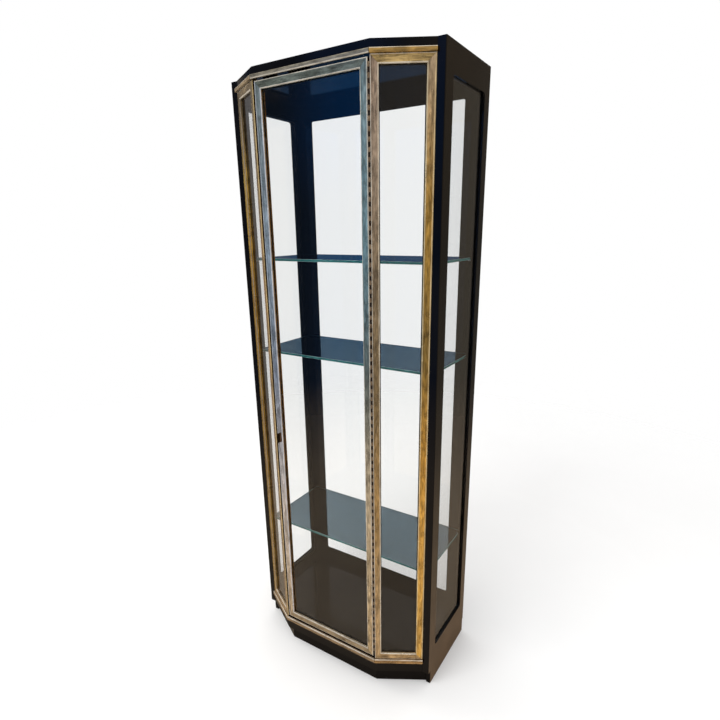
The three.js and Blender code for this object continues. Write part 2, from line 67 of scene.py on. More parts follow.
nodes = frame["nodes"]
body_of = {
    node: body
    for body, members in frame["record"]["behaviour"]["bodies"].items()
    for node in members
}
slot_of = {row["node"]: row["material_slot"] for row in frame["record"]["subparts"]}
MM = 0.001
FACET_ANGLE = math.radians(30)
CABINET_HEIGHT = cad_box[1][2]
WHITE = (1.0, 1.0, 1.0)

# ---- Node helpers -------------------------------------------------------------

WANDER = 0.12  # the part of the height by which colours wander


class Graph:
    """A node tree, with short calls to add and link nodes."""

    def __init__(self, tree):
        self.tree = tree

    def add(self, kind, **settings):
        node = self.tree.nodes.new(kind)
        for key, value in settings.items():
            setattr(node, key, value)
        return node

    def link(self, source, target):
        self.tree.links.new(source, target)

    def feed(self, node, **values):
        """Sets or links inputs by name; an underscore stands for a space."""
        for key, value in values.items():
            socket = node.inputs[key.replace("_", " ")]
            if isinstance(value, bpy.types.NodeSocket):
                self.link(value, socket)
            else:
                socket.default_value = value
        return node

    def place(self, turn=(0, 0, 0), scale=(1, 1, 1)):
        """Object coordinates, turned and then stretched."""
        coordinates = self.add("ShaderNodeTexCoord").outputs["Object"]
        turned = self.add("ShaderNodeMapping")
        self.feed(turned, Vector=coordinates, Rotation=turn)
        stretched = self.add("ShaderNodeMapping")
        self.feed(stretched, Vector=turned.outputs[0], Scale=scale)
        return stretched.outputs[0]

    def noise(self, vector, scale, detail=4.0, roughness=0.5, distortion=0.0):
        node = self.add("ShaderNodeTexNoise")
        self.feed(
            node,
            Vector=vector,
            Scale=scale,
            Detail=detail,
            Roughness=roughness,
            Distortion=distortion,
        )
        return node.outputs["Fac"]

    def spots(self, vector, scale):
        """The distance to the nearest of many scattered points."""
        node = self.add("ShaderNodeTexVoronoi")
        self.feed(node, Vector=vector, Scale=scale)
        return node.outputs["Distance"]

    def ramp(self, factor, *stops):
        """A colour ramp with (position, colour) stops; a plain number is a grey."""
        node = self.add("ShaderNodeValToRGB")
        elements = node.color_ramp.elements
        while len(elements) < len(stops):
            elements.new(0.5)
        while len(elements) > len(stops):
            elements.remove(elements[-1])
        for element, (position, colour) in zip(elements, stops):
            element.position = position
            if not isinstance(colour, tuple):
                colour = (colour, colour, colour)
            element.color = (*colour, 1)
        self.link(factor, node.inputs["Fac"])
        return node.outputs["Color"]

    def mix(self, factor, first, second, blend="MIX"):
        """Blends two colours; any value may be a socket."""
        node = self.add("ShaderNodeMix", data_type="RGBA", blend_type=blend)
        for index, value in ((0, factor), (6, first), (7, second)):
            socket = node.inputs[index]
            if isinstance(value, bpy.types.NodeSocket):
                self.link(value, socket)
            else:
                socket.default_value = (*value, 1) if isinstance(value, tuple) else value
        return node.outputs[2]

    def product(self, first, second):
        return self.mix(1.0, first, second, "MULTIPLY")

    def math(self, operation, first, second):
        node = self.add("ShaderNodeMath", operation=operation)
        for index, value in enumerate((first, second)):
            if isinstance(value, bpy.types.NodeSocket):
                self.link(value, node.inputs[index])
            else:
                node.inputs[index].default_value = value
        return node.outputs[0]

    def parts(self, vector):
        """The X, Y and Z of a vector."""
        node = self.add("ShaderNodeSeparateXYZ")
        self.link(vector, node.inputs[0])
        return node.outputs

    def by_height(self, *stops, wander=None):
        """Colours that change with the height above the floor, given in metres.

        wander is a noise that shifts them up and down a little.
        """
        coordinates = self.add("ShaderNodeTexCoord").outputs["Object"]
        height = self.math("DIVIDE", self.parts(coordinates)[2], CABINET_HEIGHT)
        if wander is not None:
            height = self.math("ADD", height, self.math("MULTIPLY", wander, WANDER))
            height = self.math("SUBTRACT", height, WANDER / 2)
        return self.ramp(height, *((z / CABINET_HEIGHT, colour) for z, colour in stops))

    def attribute(self, name):
        return self.add("ShaderNodeAttribute", attribute_name=name).outputs["Fac"]

    def bump(self, height, strength, distance, normal=None):
        node = self.add("ShaderNodeBump")
        self.feed(node, Height=height, Strength=strength, Distance=distance)
        if normal is not None:
            self.link(normal, node.inputs["Normal"])
        return node.outputs["Normal"]

    def in_reflections(self):
        """1 for a ray that has been mirrored before, 0 for any other."""
        depth = self.add("ShaderNodeLightPath").outputs["Glossy Depth"]
        return self.math("GREATER_THAN", depth, 0.5)


class MaterialGraph(Graph):
    """The nodes of a new material."""

    def __init__(self, name):
        self.material = bpy.data.materials.new(name)
        self.material.use_nodes = True
        super().__init__(self.material.node_tree)
        self.shader = self.tree.nodes["Principled BSDF"]
        self.output = self.tree.nodes["Material Output"]


# ---- Materials ----------------------------------------------------------------

GRAIN_UP = (0, math.pi / 2, 0)
GRAIN_ALONG = {
    "left": (0, 0, FACET_ANGLE),
    "center": (0, 0, 0),
    "right": (0, 0, -FACET_ANGLE),
}


def lacquer(name, dust=1.0, wave=1.0, ior=1.36, floor_sheen=None):
    """Deep black polyester gloss: slight waviness, fine swirls and a little dust.

    veil is a painted reflection: a warm brown that is brightest near the floor, broken up by
    scuffs and given as (height in metres, colour) stops.
    """
    g = MaterialGraph(name)
    place = g.place()
    broad = g.noise(place, 5.0, 2.0)
    swirl = g.noise(place, 260.0, 6.0, 0.7, 1.5)
    haze = g.noise(place, 14.0, 5.0, 0.6)
    specks = g.ramp(g.spots(place, 240.0), (0.0, 1.0), (0.05, 0.0))
    patch = g.ramp(g.noise(place, 30.0), (0.5, 0.0), (0.7, 1.0))
    dusty = g.math("MULTIPLY", specks, patch)
    colour = g.ramp(broad, (0.3, (0.0015, 0.0015, 0.002)), (0.7, (0.004, 0.0035, 0.0035)))
    # Painted reflection: a warm brown by height, brightest near the floor, broken up by scuffs.
    if floor_sheen is not None:
        scuffs = g.ramp(haze, (0.25, 0.75), (0.8, 1.25))
        sheen = g.product(g.by_height(*floor_sheen), scuffs)
        colour = g.mix(1.0, colour, sheen, "ADD")
    colour = g.mix(g.math("MULTIPLY", dusty, 0.3 * dust), colour, (0.14, 0.13, 0.12))
    swirl_rough = g.ramp(swirl, (0.35, 0.02), (0.8, 0.10))
    haze_rough = g.ramp(haze, (0.35, 0.03), (0.8, 0.11))
    rough = g.mix(0.5, swirl_rough, haze_rough)
    g.feed(g.shader, Base_Color=colour, Roughness=rough, IOR=ior)
    waves = g.bump(broad, 0.02 * wave, 0.01)
    g.feed(g.shader, Normal=g.bump(swirl, 0.006, 0.0004, waves))
    return g.material


DARK = (0.055, 0.034, 0.018)


def brass(name, turn, seed, tones, highlight_and_rubbed, tarnish=0.5, metallic=0.55):
    """Old brass sheet: painted highlights on the rounded edges, patchy like rubbed wear, round
    duller faces with a thin patina.

    turn lays X along the grain, and seed moves the patches. tones are (height in metres,
    colour) stops of the brass's colour with painted reflections in it. rubbed is the colour of
    the painted edge highlights and the bright streaks. tarnish is how much of the patina is
    dark.
    """
    g = MaterialGraph(name)
    even = g.place((seed, 0.4 * seed, 0.2))
    streak = g.noise(g.place(turn, (0.10, 1, 1)), 420.0, 5.0, 0.65, 0.2)
    band = g.noise(g.place(turn, (0.16, 1, 1)), 90.0 + 3.0 * seed, 5.0, 0.62, 0.6)
    fine_band = g.noise(g.place(turn, (0.14, 1, 1)), 250.0 + 5.0 * seed, 5.0, 0.65, 0.4)
    patch = g.noise(even, 26.0, 7.0, 0.70, 0.6)
    cloud = g.noise(even, 5.0, 3.0, 0.5)
    pits = g.ramp(g.spots(even, 330.0), (0.0, 1.0), (0.16, 0.0))
    pit_mask = g.math("MULTIPLY", pits, g.ramp(patch, (0.5, 0.0), (0.66, 1.0)))

    # Painted reflections as a tone by height, a darker patina where it is old, with long bands
    # and streaks.
    age = g.ramp(patch, (0.62 - 0.3 * tarnish, 0.0), (0.82 - 0.2 * tarnish, 1.0))
    shade = g.mix(age, (1.18, 1.17, 1.15), (0.58, 0.55, 0.50))
    colour = g.product(g.by_height(*tones, wander=cloud), shade)
    colour = g.product(colour, g.ramp(band, (0.36, 0.62), (0.64, 1.28)))
    colour = g.product(colour, g.ramp(fine_band, (0.38, 0.66), (0.62, 1.26)))
    dark_streaks = g.math("MULTIPLY", g.ramp(streak, (0.52, 0.0), (0.72, 1.0)), 0.35)
    bright_streaks = g.math("MULTIPLY", g.ramp(streak, (0.28, 1.0), (0.40, 0.0)), 0.22)
    colour = g.mix(dark_streaks, colour, DARK)
    colour = g.mix(bright_streaks, colour, highlight_and_rubbed)

    # Painted highlights on the rounded edges, patchy like wear, and dirt in the mitred joints
    # and the pits.
    edge_highlight = g.math("MULTIPLY", g.attribute("edge"), g.ramp(band, (0.34, 0.35), (0.60, 0.92)))
    colour = g.mix(edge_highlight, colour, highlight_and_rubbed)
    colour = g.mix(g.math("MULTIPLY", g.attribute("joint"), 0.85), colour, DARK)
    colour = g.mix(g.math("MULTIPLY", pit_mask, 0.7), colour, DARK)
    rough = g.mix(age, (0.16, 0.16, 0.16), (0.34, 0.34, 0.34))
    rough = g.mix(g.math("MULTIPLY", streak, 0.35), rough, (0.42, 0.42, 0.42))
    g.feed(g.shader, Base_Color=colour, Roughness=rough, Metallic=metallic)
    wave = g.bump(cloud, 0.16, 0.004)
    dents = g.bump(patch, 0.10, 0.0012, wave)
    g.feed(g.shader, Normal=g.bump(streak, 0.05, 0.0003, dents))
    return g.material


def clear_glass(name, tint, density, smear=1.0, wave=1.0):
    """Float glass with faint smears and a slight wave, tinted through its thickness."""
    g = MaterialGraph(name)
    smears = g.noise(g.place((0.3, 0, 0.5), (1, 1, 0.35)), 9.0, 6.0, 0.62, 0.8)
    swell = g.noise(g.place(), 3.0, 1.0)
    rough = g.ramp(smears, (0.55, 0.0), (0.85, 0.018 * smear))
    g.feed(g.shader, Base_Color=(*WHITE, 1), Roughness=rough, IOR=1.5)
    g.feed(g.shader, Transmission_Weight=1.0)
    g.feed(g.shader, Normal=g.bump(swell, 0.02 * wave, 0.004))
    absorb = g.add("ShaderNodeVolumeAbsorption")
    g.feed(absorb, Color=(*tint, 1), Density=density)
    g.link(absorb.outputs[0], g.output.inputs["Volume"])
    return g.material


def ground_edge(name, deep, bright):
    """The ground and polished edge of a tinted glass sheet."""
    g = MaterialGraph(name)
    along = g.place((0, 0, 0), (0.15, 0.15, 1))
    streak = g.noise(along, 300.0, 4.0, 0.6)
    chips = g.noise(g.place(), 420.0, 3.0)
    colour = g.ramp(streak, (0.3, deep), (0.7, bright))
    g.feed(g.shader, Base_Color=colour, Roughness=g.ramp(chips, (0.3, 0.12), (0.7, 0.30)))
    g.feed(g.shader, IOR=1.5, Normal=g.bump(chips, 0.1, 0.0002))
    return g.material


def bead_material():
    """Matt black paint."""
    g = MaterialGraph("black_bead")
    place = g.place()
    fine = g.noise(place, 900.0, 3.0)
    patch = g.noise(place, 40.0)
    colour = g.ramp(patch, (0.3, (0.0008, 0.0008, 0.001)), (0.7, (0.003, 0.003, 0.003)))
    g.feed(g.shader, Base_Color=colour, Roughness=g.ramp(fine, (0.3, 0.35), (0.7, 0.55)))
    g.feed(g.shader, IOR=1.2, Normal=g.bump(fine, 0.1, 0.0003))
    return g.material


def bronze(name, low, middle, high):
    """Hinge brass gone dark in patches; the three colours run from dark to bright."""
    g = MaterialGraph(name)
    patch = g.noise(g.place(), 120.0, 5.0, 0.6)
    colour = g.ramp(patch, (0.3, low), (0.55, middle), (0.8, high))
    g.feed(g.shader, Base_Color=colour, Metallic=0.5)
    g.feed(g.shader, Roughness=g.ramp(patch, (0.3, 0.42), (0.75, 0.24)))
    g.feed(g.shader, Normal=g.bump(patch, 0.15, 0.0005))
    return g.material


def steel():
    """Plated steel with fine turning lines."""
    g = MaterialGraph("plated_steel")
    fine = g.noise(g.place((0, 0, 0), (0.2, 1, 1)), 1200.0, 4.0)
    colour = g.ramp(fine, (0.3, (0.52, 0.52, 0.52)), (0.7, (0.70, 0.70, 0.69)))
    g.feed(g.shader, Base_Color=colour, Metallic=1.0)
    g.feed(g.shader, Roughness=g.ramp(fine, (0.3, 0.18), (0.7, 0.34)))
    g.feed(g.shader, Normal=g.bump(fine, 0.05, 0.0002))
    return g.material


def catch_plastic():
    """Dark brown moulded plastic."""
    g = MaterialGraph("catch_plastic")
    fine = g.noise(g.place(), 1500.0, 2.0)
    colour = g.ramp(fine, (0.3, (0.020, 0.016, 0.013)), (0.7, (0.034, 0.027, 0.022)))
    g.feed(g.shader, Base_Color=colour, Roughness=g.ramp(fine, (0.3, 0.4), (0.7, 0.55)))
    g.feed(g.shader, Normal=g.bump(fine, 0.15, 0.0002))
    return g.material


def core_wood(pull_start, pull_width):
    """The hardwood core under the brass, bare only in the finger pull.

    The pull runs from pull_start over pull_width in X, and its far end gets painted shadow.
    """
    g = MaterialGraph("core_wood")
    along = g.place(GRAIN_UP, (0.08, 1, 1))
    grain = g.noise(along, 520.0, 5.0, 0.6, 0.4)
    pores = g.noise(along, 1900.0, 3.0, 0.7)
    colour = g.ramp(
        grain,
        (0.32, (0.045, 0.018, 0.007)),
        (0.52, (0.11, 0.048, 0.018)),
        (0.75, (0.19, 0.09, 0.036)),
    )
    colour = g.mix(g.ramp(pores, (0.55, 0.0), (0.7, 0.6)), colour, (0.03, 0.012, 0.006))
    from_start = g.math("SUBTRACT", g.parts(g.place())[0], pull_start)
    across = g.math("DIVIDE", from_start, pull_width)
    # Painted shadow: the far part of the pull's back wall darkens to nearly black.
    colour = g.product(colour, g.ramp(across, (0.62, 1.0), (0.78, 0.06)))
    g.feed(g.shader, Base_Color=colour, Roughness=g.ramp(pores, (0.3, 0.38), (0.7, 0.6)))
    g.feed(g.shader, Normal=g.bump(pores, 0.3, 0.0003))
    return g.material


# ---- Rounded copies of CAD nodes ----------------------------------------------

WELD_DISTANCE = 0.002 * MM
COPLANAR_ANGLE = math.radians(0.6)
SHARP_ANGLE = math.radians(35)  # edges sharper than this are rounded
SMOOTH_ANGLE = math.radians(38)  # faces that meet at less than this shade as one surface
EDGE_BREADTH = 1.6 * MM  # rounded edges and mitres are narrower than this
JOINT_LENGTH = 45 * MM  # mitred ends are shorter than this, edges are longer
ANY_LENGTH = 10.0
BROAD_FACE = 3 * MM  # the sides of a frame member are broader than this


def clean_mesh(node):
    """The node's mesh with its corners welded and its flat faces in one piece."""
    mesh = bmesh.new()
    mesh.from_mesh(nodes[node].data)
    bmesh.ops.remove_doubles(mesh, verts=mesh.verts, dist=WELD_DISTANCE)
    bmesh.ops.dissolve_limit(
        mesh,
        angle_limit=COPLANAR_ANGLE,
        verts=mesh.verts,
        edges=mesh.edges,
        use_dissolve_boundaries=False,
    )
    return mesh


def breadth(face):
    """The width of a long narrow face, or about half that of a square one."""
    return 2 * face.calc_area() / max(face.calc_perimeter(), 1e-9)


def mark_edges(mesh, width, upward=0):
    """Marks long narrow faces as edges for a painted highlight and short narrow ones as joints.

    With upward 1 or -1, only the edges that face up or down get the painted highlight.
    """
    mesh.normal_update()
    edge = mesh.faces.layers.float.new("edge")
    joint = mesh.faces.layers.float.new("joint")
    for face in mesh.faces:
        narrow = breadth(face) < width
        long = face.calc_perimeter() / 2 > JOINT_LENGTH
        faces_right = upward == 0 or face.normal.z * upward > 0.1
        face[edge] = float(narrow and long and faces_right)
        face[joint] = float(narrow and not long)


def corner_normals(mesh):
    """Corner normals that keep large faces flat and turn across the rounded edges.

    Each is the mean of the faces round its vertex, where a larger face counts for far more.
    """
    mesh.normal_update()
    area = {face: max(face.calc_area(), 1e-12) for face in mesh.faces}
    normals = []
    for face in mesh.faces:
        for loop in face.loops:
            near = [
                other
                for other in loop.vert.link_faces
                if other.normal.angle(face.normal, 0) < SMOOTH_ANGLE
            ]
            largest = max(area[other] for other in near)
            total = Vector((0, 0, 0))
            for other in near:
                total += other.normal * (area[other] / largest) ** 2
            normals.append(total.normalized())
    return normals


def finish_piece(mesh, node, *materials):
    """Makes an object of the mesh that replaces a CAD node and rides on its body."""
    name = node + "_finish"
    normals = corner_normals(mesh)
    for face in mesh.faces:
        face.smooth = True
    data = bpy.data.meshes.new(name)
    mesh.to_mesh(data)
    mesh.free()
    copied = data.attributes.get("custom_normal")
    if copied is not None:
        data.attributes.remove(copied)
    data.normals_split_custom_set(normals)
    piece = bpy.data.objects.new(name, data)
    bpy.context.scene.collection.objects.link(piece)
    for material in materials:
        data.materials.append(material)
    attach(piece, body_of[node])
    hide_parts(node)


def round_off(mesh, width, segments, shortest=0.0, longest=ANY_LENGTH):
    """Rounds the sharp edges whose length lies between the two limits."""
    sharp = [
        edge
        for edge in mesh.edges
        if len(edge.link_faces) == 2
        and edge.calc_face_angle(0) > SHARP_ANGLE
        and shortest <= edge.calc_length() <= longest
    ]
    bmesh.ops.bevel(
        mesh,
        geom=sharp,
        offset=width,
        segments=segments,
        profile=0.5,
        affect="EDGES",
        clamp_overlap=True,
    )


def assign(mesh, choose):
    """Gives each face the number of the material that choose(face) returns."""
    for face in mesh.faces:
        face.material_index = choose(face)


def first_material(face):
    return 0


def soften(node, width, *materials, segments=2, choose=first_material, upward=0):
    """Replaces a CAD node by a copy whose sharp edges are rounded by the given width."""
    mesh = clean_mesh(node)
    round_off(mesh, width, segments)
    mark_edges(mesh, EDGE_BREADTH, upward)
    assign(mesh, choose)
    finish_piece(mesh, node, *materials)


# ---- Carcass ------------------------------------------------------------------

BOARD_ROUNDING = 0.7 * MM
black = lacquer("black_gloss_lacquer")
black_plinth = lacquer("black_gloss_lacquer_plinth", dust=1.6, wave=1.4, ior=1.29)
# A painted reflection on the outer faces of the side boards and plinth: warm brown near the
# floor, nearly black higher up, with a faint warm tone at the top.
FLOOR_SHEEN = (
    (0.05, (0.098, 0.060, 0.034)),
    (0.45, (0.052, 0.034, 0.018)),
    (0.90, (0.006, 0.004, 0.002)),
    (1.50, (0.001, 0.001, 0.0005)),
    (1.95, (0.007, 0.004, 0.0015)),
)
SHEEN_FACES_FROM = 340 * MM  # outer faces of the side boards and the plinth lie beyond this
black_side = lacquer("black_gloss_lacquer_side", ior=1.30, floor_sheen=FLOOR_SHEEN)


def outer_face(face):
    """1 for the outer face of a board on the left or right side, which gets the painted
    reflection.
    """
    centre_x = face.calc_center_median().x
    outward = face.normal.x * math.copysign(1, centre_x) > 0.9
    return int(outward and abs(centre_x) > SHEEN_FACES_FROM)


for board in ("top_panel", "deck_panel", "back_frame"):
    soften(board, BOARD_ROUNDING, black)
for board in ("side_panel_left", "side_panel_right"):
    soften(board, BOARD_ROUNDING, black, black_side, choose=outer_face)
for board in nodes:
    if board.startswith("plinth_"):
        soften(board, BOARD_ROUNDING, black_plinth, black_side, choose=outer_face)

# ---- Brass --------------------------------------------------------------------

# Colours of the painted edge highlights and the bright streaks.
CREAM = (0.98, 0.90, 0.76)
GOLD = (0.98, 0.74, 0.36)
BRIGHT_GOLD = (1.0, 0.82, 0.50)
PALE = (0.86, 0.88, 0.92)
TAUPE = (0.44, 0.36, 0.27)
TONE_LIFT = 1.12  # makes up for the half of the brass that only mirrors the room
BRIGHTEST = 0.97


def tone(red, green, blue):
    """The base colour of brass that should look like this screen colour (0 to 255)."""
    linear = ((value / 255) ** 2.2 for value in (red, green, blue))
    return tuple(min(BRIGHTEST, TONE_LIFT * value) for value in linear)


STRIP_ROUNDING = 0.5 * MM
# Tones per facet: the brass's colour with the painted reflection that each facet shows.
HEADER_TONES = {
    "left": [(1.9, tone(150, 130, 100))],
    "center": [(1.9, tone(135, 128, 112))],
    "right": [(1.9, tone(172, 138, 80))],
}
SILL_TONES = {
    "left": [(0.1, tone(170, 140, 100))],
    "center": [(0.1, tone(160, 135, 105))],
    "right": [(0.1, tone(175, 138, 92))],
}
for facet, grain in GRAIN_ALONG.items():
    header = brass(f"brass_header_{facet}", grain, 1.0, HEADER_TONES[facet], CREAM, 0.4)
    sill = brass(f"brass_sill_{facet}", grain, 1.5, SILL_TONES[facet], CREAM, 0.8)
    # The painted edge highlights go on the downward edges of the centre header and the upward
    # edges elsewhere.
    highlit_side = -1 if facet == "center" else 1
    soften(f"header_strip_{facet}", STRIP_ROUNDING, header, upward=highlit_side)
    soften(f"sill_strip_{facet}", STRIP_ROUNDING, sill, upward=1)

# Tones by height for the side frames: the brass's colour with the painted reflections that each
# member shows along its height.
RIGHT_INNER = (
    (0.2, tone(182, 152, 112)),
    (0.7, tone(165, 130, 82)),
    (1.05, tone(122, 102, 72)),
    (1.35, tone(112, 96, 74)),
    (1.9, tone(146, 128, 112)),
)
RIGHT_OUTER = (
    (0.2, tone(215, 168, 88)),
    (0.9, tone(200, 150, 70)),
    (1.2, tone(128, 104, 58)),
    (1.6, tone(172, 134, 66)),
    (1.9, tone(168, 146, 118)),
)
LEFT_OUTER = (
    (0.2, tone(176, 142, 78)),
    (0.8, tone(160, 124, 52)),
    (1.4, tone(176, 134, 50)),
    (1.7, tone(200, 165, 80)),
    (1.9, tone(120, 104, 78)),
)
LEFT_INNER = (
    (0.2, tone(165, 140, 110)),
    (0.8, tone(150, 128, 106)),
    (1.4, tone(150, 116, 74)),
    (1.9, tone(132, 116, 86)),
)
SIDE_RAILS = {
    "left": ((0.15, tone(170, 142, 104)), (1.9, tone(138, 120, 90))),
    "right": ((0.15, tone(180, 150, 108)), (1.9, tone(176, 150, 100))),
}

LONG_ROUNDING = 0.9 * MM
MITRE_ROUNDING = 0.3 * MM
SHORTEST_ROUNDED = 1.5 * MM  # mitred edges shorter than this stay sharp


def brass_member(node, *metals, choose=first_material):
    """A frame member with well rounded long edges and fine mitred ends."""
    mesh = clean_mesh(node)
    round_off(mesh, LONG_ROUNDING, 3, shortest=JOINT_LENGTH)
    round_off(mesh, MITRE_ROUNDING, 1, shortest=SHORTEST_ROUNDED, longest=JOINT_LENGTH)
    mark_edges(mesh, EDGE_BREADTH)
    assign(mesh, choose)
    finish_piece(mesh, node, *metals)


def left_side(face):
    """1 for a broad face that looks towards -X."""
    return int(face.normal.x < -0.9 and breadth(face) > BROAD_FACE)


def right_side(face):
    """1 for a broad face that looks towards +X."""
    return int(face.normal.x > 0.9 and breadth(face) > BROAD_FACE)


# Painted shade: the broad sides that face into the narrow gaps by the door are dark brass.
GAP_SHADE = [(1.0, tone(58, 40, 22))]
shaded_side = brass("brass_shaded_side", GRAIN_UP, 3.4, GAP_SHADE, (0.30, 0.19, 0.08), 0.8)
right_inner = brass("brass_right_inner", GRAIN_UP, 2.0, RIGHT_INNER, CREAM, 0.5)
right_outer = brass("brass_right_outer", GRAIN_UP, 2.4, RIGHT_OUTER, BRIGHT_GOLD, 0.4, 0.6)
left_inner = brass("brass_left_inner", GRAIN_UP, 2.8, LEFT_INNER, GOLD, 0.6, 0.6)
left_outer = brass("brass_left_outer", GRAIN_UP, 3.2, LEFT_OUTER, TAUPE, 0.6, 0.6)
brass_member("right_frame_inner_stile", right_inner, shaded_side, choose=left_side)
brass_member("right_frame_outer_stile", right_outer)
brass_member("left_frame_inner_stile", left_inner, shaded_side, choose=right_side)
brass_member("left_frame_outer_stile", left_outer)
for side in ("left", "right"):
    rail = brass(f"brass_{side}_rails", GRAIN_ALONG[side], 3.0, SIDE_RAILS[side], CREAM, 0.6)
    brass_member(f"{side}_frame_top_rail", rail)
    brass_member(f"{side}_frame_bottom_rail", rail)

# Tones by height for the door: the brass's colour with painted reflections, blue-grey where the
# door mirrors the room's blue.
DOOR_HINGE_SIDE = (
    (0.2, tone(180, 156, 120)),
    (0.7, tone(175, 160, 135)),
    (1.1, tone(98, 104, 98)),
    (1.5, tone(112, 140, 146)),
    (1.9, tone(118, 134, 130)),
)
DOOR_FREE_SIDE = (
    (0.2, tone(182, 162, 135)),
    (0.65, tone(184, 178, 176)),
    (1.1, tone(132, 142, 158)),
    (1.5, tone(140, 155, 168)),
    (1.9, tone(112, 122, 122)),
)
DOOR_RAILS = ((0.15, tone(165, 146, 118)), (1.9, tone(104, 110, 100)))

door_rail = brass("brass_door_rails", GRAIN_ALONG["center"], 5.0, DOOR_RAILS, CREAM, 0.6)
hinge_side = brass("brass_door_hinge_side", GRAIN_UP, 4.0, DOOR_HINGE_SIDE, CREAM, 0.5)
brass_member("door_hinge_stile", hinge_side, shaded_side, choose=right_side)
brass_member("door_top_rail", door_rail)
brass_member("door_bottom_rail", door_rail)

PULL_BOTTOM, PULL_TOP = 844 * MM, 890 * MM
PULL_WIDTH, PULL_DEPTH = 19.5 * MM, 12 * MM
pull_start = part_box("door_free_stile")[0]


def free_stile_face(face):
    """1 inside the finger pull, 2 on the outer side, which gets painted shade, 3 on the side by
    the glass.
    """
    centre = face.calc_center_median()
    in_pull = (
        PULL_BOTTOM - 0.5 * MM < centre.z < PULL_TOP + 1 * MM
        and centre.x < pull_start.x + PULL_WIDTH + 0.1 * MM
        and pull_start.y + 1 * MM < centre.y < pull_start.y + PULL_DEPTH + 0.5 * MM
    )
    if in_pull:
        return 1
    return 2 * left_side(face) + 3 * right_side(face)


# The sides by the glass: the brass's colour with the painted warm reflection that they show.
INNER_TONES = [(0.2, tone(160, 112, 48)), (1.9, tone(130, 92, 38))]
inner_side = brass("brass_inner_side", GRAIN_UP, 4.7, INNER_TONES, GOLD, 0.6)
free_side = brass("brass_door_free_side", GRAIN_UP, 4.5, DOOR_FREE_SIDE, PALE, 0.5)
bare_core = core_wood(pull_start.x, PULL_WIDTH)
brass_member(
    "door_free_stile", free_side, bare_core, shaded_side, inner_side, choose=free_stile_face
)

# ---- Piano hinge --------------------------------------------------------------

pin_low, pin_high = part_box("hinge_pin")
HINGE_X, HINGE_Y = (pin_low.x + pin_high.x) / 2, (pin_low.y + pin_high.y) / 2
KNUCKLE_RADIUS = 3.0 * MM
KNUCKLE_PITCH = 12.1 * MM
KNUCKLE_GAP = 0.5 * MM
KNUCKLE_EDGE = 0.5 * MM
KNUCKLE_SIDES = 20
EDGE_STEPS = 3
LEAF_DEPTH = 12 * MM
LEAF_THICKNESS = 1.2 * MM
LEAF_OFFSET = 3.2 * MM  # from the hinge's axis to a leaf's outer face
LEAF_CLEARANCE = 0.6 * MM  # between the knuckles and the leaf behind them
WRAP_FRONT = 0.5 * MM  # where a knuckle's wrap starts, behind the hinge's axis
WRAP_OVERLAP = 1 * MM
WRAP_SIDE_INSET = 0.1 * MM
WRAP_END_INSET = 0.3 * MM
HINGE_EDGE_BREADTH = 0.9 * MM
BOX_FACES = (
    (0, 2, 3, 1),
    (4, 5, 7, 6),
    (0, 1, 5, 4),
    (2, 6, 7, 3),
    (0, 4, 6, 2),
    (1, 3, 7, 5),
)


def add_box(mesh, low, high):
    """A closed box between two opposite corners."""
    corners = [
        mesh.verts.new((x, y, z))
        for z in (low[2], high[2])
        for y in (low[1], high[1])
        for x in (low[0], high[0])
    ]
    for face in BOX_FACES:
        mesh.faces.new([corners[index] for index in face])


def add_round_body(mesh, profile):
    """A closed round body on the hinge's axis, from (radius, height) pairs."""
    rings = []
    for radius, z in profile:
        ring = []
        for step in range(KNUCKLE_SIDES):
            turn = 2 * math.pi * step / KNUCKLE_SIDES
            x = HINGE_X + radius * math.cos(turn)
            y = HINGE_Y + radius * math.sin(turn)
            ring.append(mesh.verts.new((x, y, z)))
        rings.append(ring)
    for lower, upper in zip(rings, rings[1:]):
        for step in range(KNUCKLE_SIDES):
            after = (step + 1) % KNUCKLE_SIDES
            mesh.faces.new((lower[step], lower[after], upper[after], upper[step]))
    mesh.faces.new(list(reversed(rings[0])))
    mesh.faces.new(rings[-1])


def add_knuckle(mesh, bottom, top):
    """A round knuckle with rounded ends."""
    profile = []
    for step in range(EDGE_STEPS + 1):
        turn = step / EDGE_STEPS * math.pi / 2
        radius = KNUCKLE_RADIUS - KNUCKLE_EDGE * (1 - math.sin(turn))
        profile.append((radius, bottom + KNUCKLE_EDGE * (1 - math.cos(turn))))
    profile += [(radius, bottom + top - z) for radius, z in reversed(profile)]
    add_round_body(mesh, profile)


def hinge_leaf(node, first, side, metal):
    """One leaf with every second knuckle. Each knuckle wraps into the leaf behind it."""
    low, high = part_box(node)
    mesh = bmesh.new()
    outer = HINGE_X + side * LEAF_OFFSET
    inner = outer - side * LEAF_THICKNESS
    left, right = min(outer, inner), max(outer, inner)
    leaf_front = HINGE_Y + KNUCKLE_RADIUS + LEAF_CLEARANCE
    add_box(mesh, (left, leaf_front, low.z), (right, leaf_front + LEAF_DEPTH, high.z))
    count = round((high.z - low.z) / KNUCKLE_PITCH)
    pitch = (high.z - low.z) / count
    for index in range(first, count, 2):
        bottom = low.z + index * pitch + KNUCKLE_GAP / 2
        top = bottom + pitch - KNUCKLE_GAP
        add_knuckle(mesh, bottom, top)
        add_box(
            mesh,
            (left + WRAP_SIDE_INSET, HINGE_Y + WRAP_FRONT, bottom + WRAP_END_INSET),
            (right - WRAP_SIDE_INSET, leaf_front + WRAP_OVERLAP, top - WRAP_END_INSET),
        )
    mark_edges(mesh, HINGE_EDGE_BREADTH)
    finish_piece(mesh, node, metal)


